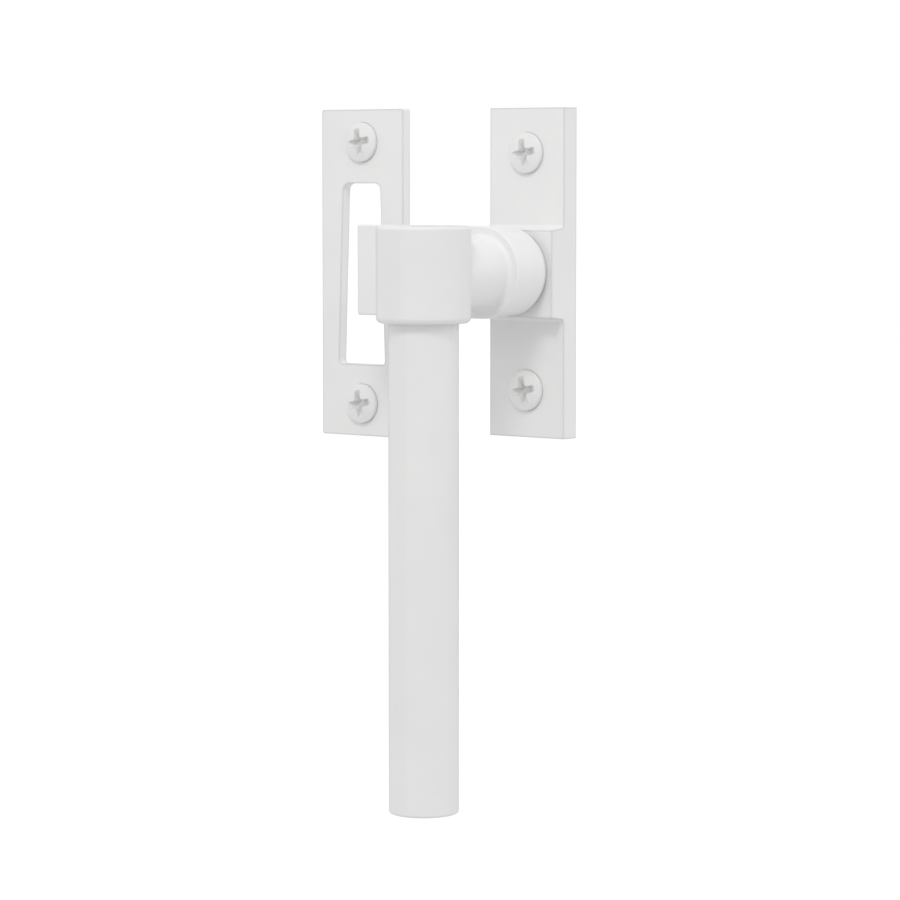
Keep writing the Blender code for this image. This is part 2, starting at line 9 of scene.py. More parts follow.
import bmesh
import bpy
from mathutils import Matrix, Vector


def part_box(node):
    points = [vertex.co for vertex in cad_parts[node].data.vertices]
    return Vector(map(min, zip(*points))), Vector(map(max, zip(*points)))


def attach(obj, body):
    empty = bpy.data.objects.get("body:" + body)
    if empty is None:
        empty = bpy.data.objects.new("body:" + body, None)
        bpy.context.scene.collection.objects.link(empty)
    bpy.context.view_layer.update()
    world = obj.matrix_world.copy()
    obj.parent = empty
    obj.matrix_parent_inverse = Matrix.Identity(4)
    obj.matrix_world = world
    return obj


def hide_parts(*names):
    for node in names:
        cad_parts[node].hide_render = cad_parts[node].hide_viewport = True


MM = 0.001

# Back plate, boss and the land that carries the hub
PLATE_THICKNESS = 4.45
PLATE_EDGE = 0.12
PLATE_FILLET = 0.8
BOSS_HALF_HEIGHT = 9.95
BOSS_DRAFT = 0.5
BOSS_FRONT = 8.75
LAND_RADIUS = 8.75
LAND_EDGE = 0.2

# Strike plate and its slot
STRIKE_EDGE = 0.12
STRIKE_CORNER = 0.5
SLOT_TOP_CORNER = 1.7
SLOT_BOTTOM_CORNER = 0.9
SLOT_TOP_WIDTH = 11.0
SLOT_BOTTOM_WIDTH = 13.7
SLOT_HEIGHT = 41.1
SLOT_DROP = 0.2
SLOT_SHIFT = -0.2

# Cam body, head and grip
HUB_FRONT = 20.05
HUB_DRAFT = 0.55
HUB_FRONT_EDGE = 0.5
HUB_REAR_EDGE = 0.4
NOSE_CORNER = 0.5
NOSE_EDGE = 0.25
NECK_RADIUS = 7.6
NECK_FILLET = 1.1
NECK_OVERLAP = 0.8
HEAD_TOP_EDGE = 0.8
HEAD_BOTTOM_EDGE = 1.3
GRIP_EDGE = 0.6
GRIP_TOP_EDGE = 0.4
CAP_EDGE = 0.3
CAP_CROWN = 0.12

# Raised countersunk screws with a Phillips recess
SCREW_RIM_HEIGHT = 0.8
SCREW_RIM_EDGE = 0.3
SCREW_SINK_DEPTH = 2.2
SCREW_CORE_RADIUS = 1.3
SCREW_THREAD_RADIUS = 1.9
SCREW_PITCH = 1.4
SCREW_TIP_LENGTH = 4.0
HOLE_PLAY = 0.3
CROSS_TURN = math.radians(11.0)
CROSS_MOUTH = (3.6, 0.76, 0.6)
CROSS_FLOOR = (1.05, 0.5, 0.12)
CROSS_DEPTH = 1.9
CROSS_TIP_ROUNDING = 0.4
THREAD_RUNOUT = 0.2
THREAD_RIDGE = 0.24
TIP_BLUNTNESS = 0.8

# Bores, turned pieces behind the boss, and the pocket in the head
COUNTERBORE_RADIUS = 7.5
COUNTERBORE_DEPTH = 4.9
BUSH_HOLE_RADIUS = 5.02
BUSH_BORE = 3.6
WASHER_BORE = 3.75
WASHER_RECESS_RADIUS = 5.75
WASHER_RECESS_DEPTH = 0.82
HUB_BORE = 5.3
STOP_ORBIT = 7.4
STOP_GROOVE_HALF_WIDTH = 1.1
STOP_GROOVE_DEPTH = 1.9
STOP_HOLE_RADIUS = 0.82
STOP_HOLE_FLOOR = 5.2
RING_EDGE = 0.12
BUSH_EDGE = 0.2
POCKET_RADIUS = 5.15
POCKET_EDGE = 0.15
POCKET_FLOOR = 5.0
BOLT_HOLE_RADIUS = 2.3

# Light: mean radiance of the tent and its rise towards +X, +Y and +Z; two soft lamps, each
# with an azimuth to the right, an elevation and a power in watts; and a grey card far behind
# the object, with its azimuth, the angles where it is full and where it ends, and its tone
TENT_MEAN = 0.89
TENT_RISE = (-0.12, 0.155, 0.015)
LAMPS = {
    "key": (math.radians(25.0), math.radians(44.0), 4.8),
    "side": (math.radians(70.0), math.radians(35.0), 1.3),
}
CARD_AZIMUTH = math.radians(219.0)
CARD_INNER = math.radians(15.0)
CARD_OUTER = math.radians(40.0)
CARD_TONE = 0.1
LAMP_DISTANCE_METRES = 1.5
LAMP_SIZE_METRES = 0.4
PURE_WHITE = (1.0, 1.0, 1.0, 1.0)

# Floor: light and dark tone, roughness, glow and place
FLOOR_TONES = ((0.92, 0.92, 0.92), (0.90, 0.90, 0.90))
FLOOR_ROUGHNESS = 0.9
FLOOR_GLOW = 0.25
FLOOR_HEIGHT = -300.0
FLOOR_RADIUS_METRES = 12.0

# Camera
LENS = 140.84
AIM = Vector((-13.18, -14.75, -39.18)) * MM
AZIMUTH = math.radians(39.23)
ELEVATION = math.radians(4.52)
CAMERA_DISTANCE_METRES = 0.7711
SENSOR_WIDTH = 36.0
CLIP_METRES = (0.05, 50.0)

# Coatings: reach of the painted shade along edges and in recesses, in metres, and where each starts
# and ends
EDGE_REACH = 0.0007
EDGE_LIMITS = (0.86, 0.995)
RECESS_REACH = 0.003
RECESS_LIMITS = (0.2, 0.7)

# Surface patterns: noise scales per metre, how far roughness strays below and above its
# value, and bump heights in metres
CLOUD_SCALE = 90.0
GLOSS_SCALE = 320.0
GLOSS_SPREAD = (0.05, 0.06)
PEEL_SCALE = 620.0
PEEL_HEIGHT = 0.00006
GRAIN_SCALE = 3600.0
GRAIN_HEIGHT = 0.00001
GRAIN_SHARE = 0.6
PLATING_CLOUD_SCALE = 500.0
PLATING_GLOSS_SCALE = 1500.0
PLATING_GLOSS_SPREAD = (0.07, 0.10)
TURNED_LINE_SCALE = 900.0
TURNED_LINE_STRETCH = (1.0, 6.0, 1.0)
TURNED_LINE_HEIGHT = 0.00002
TURNED_LINE_STRENGTH = 0.25
MOULDED_CLOUD_SCALE = 250.0
MOULDED_GLOSS_SCALE = 900.0
MOULDED_GLOSS_SPREAD = (0.05, 0.05)
MOULDED_GRAIN_SCALE = 2600.0
MOULDED_GRAIN_HEIGHT = 0.00002
MOULDED_GRAIN_STRENGTH = 0.3
FLOOR_CLOUD_SCALE = 40.0

# Shared: the gap between pieces that meet, how far cutters reach past a face, the smallest
# edge, what counts as on the axis, steps around turned shapes, and how pieces are turned
SEAM = 0.06
CUT_ROOM = 1.0
TINY_EDGE = 0.02
ON_AXIS = 1e-6
ROUND_STEPS = 128
HUB_STEPS = 72
SMALL_STEPS = 96
TOOL_STEPS = 48
SHARP_ANGLE = math.radians(32.0)
FACING_ROOM = (math.radians(90.0), 0.0, 0.0)
SIDE_ON = (math.radians(90.0), 0.0, math.radians(-90.0))
UPRIGHT = (0.0, 0.0, 0.0)

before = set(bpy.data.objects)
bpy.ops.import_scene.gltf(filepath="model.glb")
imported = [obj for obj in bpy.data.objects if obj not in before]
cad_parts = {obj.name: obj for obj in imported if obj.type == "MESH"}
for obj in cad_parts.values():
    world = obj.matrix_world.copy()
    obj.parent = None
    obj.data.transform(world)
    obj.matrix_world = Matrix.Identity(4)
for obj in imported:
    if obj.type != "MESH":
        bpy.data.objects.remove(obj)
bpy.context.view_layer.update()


def box_mm(node):
    """Lowest and highest corner of a CAD node in millimetres."""
    low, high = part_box(node)
    return low / MM, high / MM


# ---------------------------------------------------------------- outlines

def arc(centre, radius, start, end, steps):
    angles = [start + (end - start) * i / steps for i in range(steps + 1)]
    return [(centre[0] + radius * math.cos(a), centre[1] + radius * math.sin(a)) for a in angles]


def rounded_loop(corners, radii, steps=6):
    """A polygon whose corners are replaced by tangent arcs, one radius for each corner."""
    points = []
    count = len(corners)
    for i, (corner, radius) in enumerate(zip(corners, radii)):
        here = Vector(corner)
        if radius <= 0.0:
            points.append(tuple(here))
            continue
        back = (Vector(corners[i - 1]) - here).normalized()
        ahead = (Vector(corners[(i + 1) % count]) - here).normalized()
        half = back.angle(ahead) / 2
        centre = here + (back + ahead).normalized() * (radius / math.sin(half))
        start = here + back * (radius / math.tan(half)) - centre
        finish = here + ahead * (radius / math.tan(half)) - centre
        turn = start.angle_signed(finish)
        for step in range(steps + 1):
            angle = -turn * step / steps
            x = start.x * math.cos(angle) - start.y * math.sin(angle)
            y = start.x * math.sin(angle) + start.y * math.cos(angle)
            points.append((centre.x + x, centre.y + y))
    return points


def curved_slot(orbit, half_width, start, end):
    steps = 24
    outer = arc((0.0, 0.0), orbit + half_width, start, end, steps)
    inner = arc((0.0, 0.0), orbit - half_width, end, start, steps)
    end_centre = (orbit * math.cos(end), orbit * math.sin(end))
    start_centre = (orbit * math.cos(start), orbit * math.sin(start))
    end_cap = arc(end_centre, half_width, end, end + math.pi, steps // 2)
    start_cap = arc(start_centre, half_width, start + math.pi, start + math.tau, steps // 2)
    return outer + end_cap[1:-1] + inner + start_cap[1:-1]


def quarter(centre_radius, centre_height, edge, start_degrees, end_degrees, steps=6):
    """Points of a rounded edge in a turned profile, as (radius, height)."""
    return arc((centre_radius, centre_height), edge,
               math.radians(start_degrees), math.radians(end_degrees), steps)


def rod_profile(radius, top, bottom, top_edge, bottom_edge):
    profile = [(0.0, top)]
    profile += quarter(radius - top_edge, top - top_edge, top_edge, 90, 0)
    profile += quarter(radius - bottom_edge, bottom + bottom_edge, bottom_edge, 0, -90)
    profile.append((0.0, bottom))
    return profile


def ring_profile(outer, inner, start, end, edge):
    profile = quarter(inner + edge, end - edge, edge, 180, 90, steps=3)
    profile += quarter(outer - edge, end - edge, edge, 90, 0, steps=3)
    profile += quarter(outer - edge, start + edge, edge, 0, -90, steps=3)
    profile += quarter(inner + edge, start + edge, edge, -90, -180, steps=3)
    return profile


# ---------------------------------------------------------------- mesh makers

def mesh_object(name, bm, location=(0.0, 0.0, 0.0), rotation=UPRIGHT):
    bmesh.ops.recalc_face_normals(bm, faces=bm.faces)
    mesh = bpy.data.meshes.new(name)
    bm.to_mesh(mesh)
    bm.free()
    obj = bpy.data.objects.new(name, mesh)
    obj.location = Vector(location) * MM
    obj.rotation_euler = rotation
    bpy.context.scene.collection.objects.link(obj)
    return obj


def lathe(name, profile, location=(0.0, 0.0, 0.0), rotation=UPRIGHT, steps=ROUND_STEPS):
    """Turns (radius, height) points about local Z.

    A profile that starts and stops on the axis is closed there, by one flat face or by a point.
    One that starts away from the axis makes a ring with a bore.
    """
    bm = bmesh.new()
    bored = profile[0][0] > ON_AXIS
    flat_start = not bored and profile[0][1] == profile[1][1]
    flat_stop = not bored and profile[-1][1] == profile[-2][1]
    if flat_start:
        profile = profile[1:]
    if flat_stop:
        profile = profile[:-1]
    rings = []
    for radius, height in profile:
        count = 1 if radius < ON_AXIS else steps
        ring = []
        for i in range(count):
            angle = math.tau * i / steps
            ring.append(bm.verts.new((radius * math.cos(angle) * MM,
                                      radius * math.sin(angle) * MM, height * MM)))
        rings.append(ring)
    if flat_start:
        bm.faces.new(rings[0])
    if flat_stop:
        bm.faces.new(rings[-1])
    pairs = list(zip(rings, rings[1:]))
    if bored:
        pairs.append((rings[-1], rings[0]))
    for upper, lower in pairs:
        for i in range(steps):
            corners = []
            for ring, index in ((upper, i), (upper, i + 1), (lower, i + 1), (lower, i)):
                vertex = ring[index % len(ring)]
                if vertex not in corners:
                    corners.append(vertex)
            if len(corners) > 2:
                bm.faces.new(corners)
    return mesh_object(name, bm, location, rotation)


def loft(name, sections, location=(0.0, 0.0, 0.0), rotation=UPRIGHT):
    """A solid through (loop, height) sections along local Z, closed at both ends."""
    bm = bmesh.new()
    loops = [[bm.verts.new((x * MM, y * MM, height * MM)) for x, y in loop]
             for loop, height in sections]
    bm.faces.new(loops[0])
    bm.faces.new(loops[-1])
    for near, far in zip(loops, loops[1:]):
        for i in range(len(near)):
            j = (i + 1) % len(near)
            bm.faces.new((near[i], near[j], far[j], far[i]))
    return mesh_object(name, bm, location, rotation)


def prism(name, loop, start, end, location=(0.0, 0.0, 0.0), rotation=UPRIGHT):
    return loft(name, [(loop, start), (loop, end)], location, rotation)


def round_edges(obj, width, segments):
    """Bevels the sharp edges."""
    bm = bmesh.new()
    bm.from_mesh(obj.data)
    edges = [edge for edge in bm.edges if edge.calc_face_angle(0.0) > SHARP_ANGLE]
    bmesh.ops.bevel(bm, geom=edges, offset=width * MM, offset_type="OFFSET",
                    segments=segments, profile=0.5, affect="EDGES", clamp_overlap=True)
    bm.to_mesh(obj.data)
    bm.free()


def combine(obj, tools, operation="DIFFERENCE"):
    """Cuts obj with tools, or joins them to it, and removes the tools."""
    for tool in tools:
        boolean = obj.modifiers.new(tool.name, "BOOLEAN")
        boolean.operation = operation
        boolean.solver = "EXACT"
        boolean.object = tool
    graph = bpy.context.evaluated_depsgraph_get()
    graph.update()
    mesh = bpy.data.meshes.new_from_object(obj.evaluated_get(graph))
    obj.modifiers.clear()
    obj.data = mesh
    for tool in tools:
        bpy.data.objects.remove(tool, do_unlink=True)


def smooth(obj):
    """Smooth shading that keeps flat faces flat beside their rounded edges."""
    obj.data.shade_smooth()
    obj.data.set_sharp_from_angle(angle=SHARP_ANGLE)
    weights = obj.modifiers.new("flat_faces", "WEIGHTED_NORMAL")
    weights.keep_sharp = True


def finish_piece(obj, body, node, material):
    smooth(obj)
    obj.data.materials.clear()
    obj.data.materials.append(material)
    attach(obj, body)
    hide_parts(node)


# ---------------------------------------------------------------- materials

class Nodes:
    """A material whose shader inputs are fed by a few named helper nodes."""

    def __init__(self, name):
        self.material = bpy.data.materials.new(name)
        self.material.use_nodes = True
        self.tree = self.material.node_tree
        self.shader = self.tree.nodes["Principled BSDF"]
        self.place = self.tree.nodes.new("ShaderNodeTexCoord").outputs["Object"]

    def link(self, source, target):
        self.tree.links.new(source, target)

    def noise(self, per_metre, detail=2.0, roughness=0.5, stretch=None):
        node = self.tree.nodes.new("ShaderNodeTexNoise")
        node.inputs["Scale"].default_value = per_metre
        node.inputs["Detail"].default_value = detail
        node.inputs["Roughness"].default_value = roughness
        place = self.place
        if stretch:
            mapping = self.tree.nodes.new("ShaderNodeMapping")
            mapping.inputs["Scale"].default_value = stretch
            self.link(place, mapping.inputs["Vector"])
            place = mapping.outputs["Vector"]
        self.link(place, node.inputs["Vector"])
        return node.outputs["Fac"]

    def remap(self, value, low, high, from_low=0.3, from_high=0.7):
        """Maps a value to low and high; the default limits suit noise, which stays near 0.5."""
        node = self.tree.nodes.new("ShaderNodeMapRange")
        node.inputs["From Min"].default_value = from_low
        node.inputs["From Max"].default_value = from_high
        node.inputs["To Min"].default_value = low
        node.inputs["To Max"].default_value = high
        self.link(value, node.inputs["Value"])
        return node.outputs["Result"]

    def blend(self, factor, first, second):
        node = self.tree.nodes.new("ShaderNodeMix")
        node.data_type = "RGBA"
        sockets = [s for s in node.inputs if s.type == "RGBA"]
        for value, target in zip((first, second), sockets):
            if isinstance(value, tuple):
                target.default_value = (*value, 1.0)
            else:
                self.link(value, target)
        self.link(factor, node.inputs[0])
        return [s for s in node.outputs if s.type == "RGBA"][0]

    def near_edges(self, radius):
        """1 on flat and smooth ground, falling near sharp edges and in creases."""
        bevel = self.tree.nodes.new("ShaderNodeBevel")
        bevel.samples = 8
        bevel.inputs["Radius"].default_value = radius
        geometry = self.tree.nodes.new("ShaderNodeNewGeometry")
        product = self.tree.nodes.new("ShaderNodeVectorMath")
        product.operation = "DOT_PRODUCT"
        self.link(bevel.outputs["Normal"], product.inputs[0])
        self.link(geometry.outputs["Normal"], product.inputs[1])
        return product.outputs["Value"]

    def openness(self, reach):
        """1 in the open, falling to 0 where walls within reach close in."""
        occlusion = self.tree.nodes.new("ShaderNodeAmbientOcclusion")
        occlusion.samples = 8
        occlusion.inputs["Distance"].default_value = reach
        return occlusion.outputs["AO"]

    def gloss(self, roughness, spread, pattern):
        """Roughness that strays below and above its value by the two parts of spread."""
        below, above = spread
        self.link(self.remap(pattern, roughness - below, roughness + above),
                  self.shader.inputs["Roughness"])

    def bump(self, heights):
        """A chain of bumps from (height, distance in metres, strength)."""
        normal = None
        for height, distance, strength in heights:
            node = self.tree.nodes.new("ShaderNodeBump")
            node.inputs["Distance"].default_value = distance
            node.inputs["Strength"].default_value = strength
            self.link(height, node.inputs["Height"])
            if normal:
                self.link(normal, node.inputs["Normal"])
            normal = node.outputs["Normal"]
        self.link(normal, self.shader.inputs["Normal"])


def coating(name, white, shade, painted_shade_grey, edge_shade, recess_shade, roughness, peel_strength):
    """Satin paint: orange peel and faint random tone changes, with painted shade: greyer along
    sharp edges and deep in recesses.

    The edge and recess amounts are how far the paint goes to the grey of the painted shade in each
    place.
    """
    nodes = Nodes(name)
    clouds = nodes.remap(nodes.noise(CLOUD_SCALE, detail=3.0), 0.0, 1.0)
    tone = nodes.blend(clouds, white, shade)
    # Painted shade: the paint greys where walls close in, standing in for the shade in recesses.
    recess_shade_mask = nodes.remap(nodes.openness(RECESS_REACH), recess_shade, 0.0, *RECESS_LIMITS)
    tone = nodes.blend(recess_shade_mask, tone, painted_shade_grey)
    # Painted shade: a thin grey line along sharp edges, standing in for the darker reflections on
    # their rounded faces.
    edges = nodes.remap(nodes.near_edges(EDGE_REACH), edge_shade, 0.0, *EDGE_LIMITS)
    nodes.link(nodes.blend(edges, tone, painted_shade_grey), nodes.shader.inputs["Base Color"])
    nodes.gloss(roughness, GLOSS_SPREAD, nodes.noise(GLOSS_SCALE, detail=3.0))
    peel = nodes.noise(PEEL_SCALE, roughness=0.45)
    grain = nodes.noise(GRAIN_SCALE, detail=1.0)
    nodes.bump([(peel, PEEL_HEIGHT, peel_strength),
                (grain, GRAIN_HEIGHT, peel_strength * GRAIN_SHARE)])
    return nodes.material


def plated_steel(name, light, dark, roughness):
    """Bare metal with cloudy plating and fine turned lines."""
    nodes = Nodes(name)
    clouds = nodes.remap(nodes.noise(PLATING_CLOUD_SCALE, detail=4.0), 0.0, 1.0)
    nodes.link(nodes.blend(clouds, light, dark), nodes.shader.inputs["Base Color"])
    nodes.shader.inputs["Metallic"].default_value = 1.0
    nodes.gloss(roughness, PLATING_GLOSS_SPREAD, nodes.noise(PLATING_GLOSS_SCALE, detail=3.0))
    lines = nodes.noise(TURNED_LINE_SCALE, detail=3.0, roughness=0.6, stretch=TURNED_LINE_STRETCH)
    nodes.bump([(lines, TURNED_LINE_HEIGHT, TURNED_LINE_STRENGTH)])
    return nodes.material


def moulded(name, light, dark, roughness):
    """Plastic with faint clouds and a fine moulded grain."""
    nodes = Nodes(name)
    clouds = nodes.remap(nodes.noise(MOULDED_CLOUD_SCALE), 0.0, 1.0)
    nodes.link(nodes.blend(clouds, light, dark), nodes.shader.inputs["Base Color"])
    nodes.gloss(roughness, MOULDED_GLOSS_SPREAD, nodes.noise(MOULDED_GLOSS_SCALE))
    grain = nodes.noise(MOULDED_GRAIN_SCALE)
    nodes.bump([(grain, MOULDED_GRAIN_HEIGHT, MOULDED_GRAIN_STRENGTH)])
    return nodes.material


# ---------------------------------------------------------------- fixed pieces

def screw_place(node):
    """Radius of a screw's head and its place on the plate."""
    low, high = box_mm(node)
    centre = (low + high) / 2
    return (high.x - low.x) / 2, centre.x, centre.z


def countersink(node, face):
    """Cutter for a screw hole whose mouth is a hair wider than the screw's head."""
    head_radius, x, z = screw_place(node)
    mouth = head_radius + SEAM
    slope = (head_radius - SCREW_THREAD_RADIUS) / SCREW_SINK_DEPTH
    shank = SCREW_THREAD_RADIUS + HOLE_PLAY
    profile = [
        (0.0, CUT_ROOM),
        (mouth, CUT_ROOM),
        (mouth, 0.0),
        (shank, -(mouth - shank) / slope),
        (shank, -face - CUT_ROOM),
        (0.0, -face - CUT_ROOM),
    ]
    return lathe(f"{node}_hole", profile, (x, -face, z), FACING_ROOM, SMALL_STEPS)


def make_back_plate(material):
    low, high = box_mm("back_plate")
    middle = (low.z + high.z) / 2
    half = (high.z - low.z) / 2
    root, face = BOSS_HALF_HEIGHT, BOSS_HALF_HEIGHT - BOSS_DRAFT
    side = [
        (0.0, -half), (PLATE_THICKNESS, -half), (PLATE_THICKNESS, -root), (BOSS_FRONT, -face),
        (BOSS_FRONT, face), (PLATE_THICKNESS, root), (PLATE_THICKNESS, half), (0.0, half),
    ]
    radii = [0.0, 0.0, PLATE_FILLET, 0.0, 0.0, PLATE_FILLET, 0.0, 0.0]
    plate = prism("back_plate_coated", rounded_loop(side, radii), low.x, high.x,
                  (0.0, 0.0, middle), SIDE_ON)
    round_edges(plate, PLATE_EDGE, segments=4)
    land = lathe("land", rod_profile(LAND_RADIUS, -low.y, PLATE_THICKNESS, LAND_EDGE, TINY_EDGE),
                 rotation=FACING_ROOM)
    combine(plate, [land], "UNION")
    mouth = CUT_ROOM - low.y
    recess_floor = -low.y - WASHER_RECESS_DEPTH
    bores = [
        (0.0, mouth), (WASHER_RECESS_RADIUS, mouth),
        (WASHER_RECESS_RADIUS, recess_floor), (BUSH_HOLE_RADIUS, recess_floor),
        (BUSH_HOLE_RADIUS, COUNTERBORE_DEPTH), (COUNTERBORE_RADIUS, COUNTERBORE_DEPTH),
        (COUNTERBORE_RADIUS, -CUT_ROOM), (0.0, -CUT_ROOM),
    ]
    stop_hole = [
        (0.0, mouth), (STOP_HOLE_RADIUS, mouth),
        (STOP_HOLE_RADIUS, STOP_HOLE_FLOOR), (0.0, STOP_HOLE_FLOOR),
    ]
    tools = [
        lathe("bores", bores, rotation=FACING_ROOM),
        lathe("stop_hole", stop_hole, (0.0, 0.0, STOP_ORBIT), FACING_ROOM, TOOL_STEPS),
    ]
    for label in ("upper", "lower"):
        tools.append(countersink(f"back_plate_screw_{label}", PLATE_THICKNESS))
    combine(plate, tools)
    finish_piece(plate, "plates", "back_plate", material)


def make_strike_plate(material):
    low, high = box_mm("strike_plate")
    centre = (low + high) / 2
    wide, tall = (high.x - low.x) / 2, (high.z - low.z) / 2
    face = -low.y
    outer = [(-wide, -tall), (wide, -tall), (wide, tall), (-wide, tall)]
    place = (centre.x, 0.0, centre.z)
    plate = prism("strike_plate_coated", rounded_loop(outer, [STRIKE_CORNER] * 4), 0.0, face,
                  place, FACING_ROOM)
    bottom, top = -SLOT_HEIGHT / 2 - SLOT_DROP, SLOT_HEIGHT / 2 - SLOT_DROP
    narrow, broad = SLOT_TOP_WIDTH / 2, SLOT_BOTTOM_WIDTH / 2
    slot = [
        (SLOT_SHIFT - broad, bottom), (SLOT_SHIFT + broad, bottom),
        (SLOT_SHIFT + narrow, top), (SLOT_SHIFT - narrow, top),
    ]
    radii = [SLOT_BOTTOM_CORNER] * 2 + [SLOT_TOP_CORNER] * 2
    hole = prism("slot", rounded_loop(slot, radii, steps=8), -CUT_ROOM, face + CUT_ROOM,
                 place, FACING_ROOM)
    combine(plate, [hole])
    round_edges(plate, STRIKE_EDGE, segments=3)
    combine(plate, [countersink(f"strike_plate_screw_{label}", face)
                    for label in ("upper", "lower")])
    finish_piece(plate, "plates", "strike_plate", material)


def cross_loop(size):
    """Outline of a Phillips cross from (arm reach, half width, inner corner radius)."""
    reach, half, corner = size
    points, radii = [], []
    tip = half * CROSS_TIP_ROUNDING
    for quadrant in range(4):
        turn = quadrant * math.pi / 2
        for x, y, radius in ((reach, -half, tip), (reach, half, tip), (half, half, corner)):
            points.append((x * math.cos(turn) - y * math.sin(turn),
                           x * math.sin(turn) + y * math.cos(turn)))
            radii.append(radius)
    return rounded_loop(points, radii, steps=4)


def make_screw(node, face, white, zinc):
    """A painted head with its recess, and a plated shank behind it."""
    low, high = box_mm(node)
    head_radius, x, z = screw_place(node)
    dome_top = -low.y - face
    rise = dome_top - SCREW_RIM_HEIGHT
    sphere = (head_radius ** 2 + rise ** 2) / (2 * rise)
    rim_tilt = math.degrees(math.asin(head_radius / sphere))
    rim_start = head_radius - SCREW_RIM_EDGE
    profile = []
    rings = 14
    for i in range(rings):
        radius = rim_start * i / rings
        profile.append((radius, dome_top - sphere + math.sqrt(sphere ** 2 - radius ** 2)))
    profile += quarter(rim_start, SCREW_RIM_HEIGHT - SCREW_RIM_EDGE / 2, SCREW_RIM_EDGE,
                       90 - rim_tilt, 0)
    profile += [
        (head_radius, 0.0),
        (SCREW_THREAD_RADIUS, -SCREW_SINK_DEPTH),
        (SCREW_CORE_RADIUS, -SCREW_SINK_DEPTH),
        (0.0, -SCREW_SINK_DEPTH),
    ]
    head = lathe(f"{node}_head", profile, (x, -face, z), FACING_ROOM, SMALL_STEPS)
    recess = loft("recess", [(cross_loop(CROSS_MOUTH), dome_top),
                             (cross_loop(CROSS_FLOOR), dome_top - CROSS_DEPTH)],
                  (x, -face, z), (FACING_ROOM[0], -CROSS_TURN, 0.0))
    combine(head, [recess])
    finish_piece(head, "plates", node, white)
    thread = make_thread(f"{node}_thread", high.y + face, (x, -face, z))
    finish_piece(thread, "plates", node, zinc)


def make_thread(name, length, location):
    """The shank: one helical ridge on a core that narrows to a point."""
    bm = bmesh.new()
    around = 40
    per_turn = 14
    start = THREAD_RUNOUT - SCREW_SINK_DEPTH
    rows = int((length + start) / SCREW_PITCH * per_turn)
    rings = []
    for row in range(rows + 1):
        height = start - (length + start) * row / rows
        left = length + height
        taper = min(1.0, left / SCREW_TIP_LENGTH) ** TIP_BLUNTNESS
        ring = []
        for i in range(around):
            angle = math.tau * i / around
            phase = (height / SCREW_PITCH - i / around) % 1.0
            ridge = max(0.0, 1.0 - abs(phase - 0.5) / THREAD_RIDGE)
            core = SCREW_CORE_RADIUS * taper
            radius = core + (SCREW_THREAD_RADIUS - SCREW_CORE_RADIUS) * ridge * taper
            ring.append(bm.verts.new((radius * math.cos(angle) * MM,
                                      radius * math.sin(angle) * MM, height * MM)))
            if row == rows:
                break
        rings.append(ring)
    for upper, lower in zip(rings, rings[1:]):
        for i in range(around):
            j = (i + 1) % around
            if len(lower) == 1:
                bm.faces.new((upper[i], upper[j], lower[0]))
            else:
                bm.faces.new((upper[i], upper[j], lower[j], lower[i]))
    bm.faces.new(rings[0])
    return mesh_object(name, bm, location, FACING_ROOM)


# ---------------------------------------------------------------- pieces that turn

def edge_inset(depth, edge):
    """How far an edge rounded to a radius draws in at a depth below the face it ends at."""
    left = max(0.0, edge - depth)
    return edge - math.sqrt(edge ** 2 - left ** 2)


def edge_levels(face, edge, steps):
    """Heights from a face over a rounded edge, closest together beside the face."""
    return {face + edge * (1 - math.cos(math.pi / 2 * i / steps)) for i in range(steps + 1)}


def cam_outline(radius, reach):
    """A half round on the right, and flat top and bottom edges out to the nose's end."""
    outline = arc((0.0, 0.0), radius, -math.pi / 2, math.pi / 2, HUB_STEPS)
    top = (-reach + NOSE_CORNER, radius - NOSE_CORNER)
    outline += arc(top, NOSE_CORNER, math.pi / 2, math.pi, steps=6)
    outline += arc((top[0], -top[1]), NOSE_CORNER, math.pi, math.pi * 1.5, steps=6)
    return outline


def make_cam_body(material):
    low, high = box_mm("cam_body")
    radius, back, reach = high.z, -high.y, -low.x
    heights = edge_levels(back, HUB_REAR_EDGE, steps=5)
    heights |= edge_levels(HUB_FRONT, -HUB_FRONT_EDGE, steps=8)
    heights |= edge_levels(HUB_FRONT, -NOSE_EDGE, steps=4)
    sections = []
    for height in sorted(heights):
        ahead, behind = HUB_FRONT - height, height - back
        rear = edge_inset(behind, HUB_REAR_EDGE)
        draft = HUB_DRAFT * ahead / (HUB_FRONT - back)
        outline = cam_outline(radius - draft - rear - edge_inset(ahead, HUB_FRONT_EDGE),
                              reach - rear - edge_inset(ahead, NOSE_EDGE))
        sections.append((outline, height))
    body = loft("cam_body_coated", sections, rotation=FACING_ROOM)
    head_low, head_high = box_mm("handle_head")
    head_middle = (head_low + head_high) / 2
    head_radius = (head_high.x - head_low.x) / 2
    # The neck ends inside the head; the saddle then hollows its end to the head's round.
    neck_end = -head_middle.y - head_radius / 2
    fillet_radius = NECK_RADIUS + NECK_FILLET
    neck_profile = [(0.0, neck_end), (NECK_RADIUS, neck_end)]
    neck_profile += quarter(fillet_radius, HUB_FRONT + NECK_FILLET, NECK_FILLET, 180, 270, steps=8)
    neck_profile += [(fillet_radius, HUB_FRONT - CUT_ROOM), (0.0, HUB_FRONT - CUT_ROOM)]
    combine(body, [lathe("neck", neck_profile, rotation=FACING_ROOM)], "UNION")
    tall = head_high.z + CUT_ROOM
    saddle = rod_profile(head_radius - NECK_OVERLAP, tall, -tall, TINY_EDGE, TINY_EDGE)
    bore = rod_profile(HUB_BORE, neck_end + CUT_ROOM, back - CUT_ROOM, TINY_EDGE, TINY_EDGE)
    groove = curved_slot(STOP_ORBIT, STOP_GROOVE_HALF_WIDTH, 0.0, math.pi / 2)
    combine(body, [
        lathe("saddle", saddle, (0.0, head_middle.y, 0.0)),
        lathe("bore", bore, rotation=FACING_ROOM),
        prism("groove", groove, back - CUT_ROOM, back + STOP_GROOVE_DEPTH, rotation=FACING_ROOM),
    ])
    finish_piece(body, "handle", "cam_body", material)


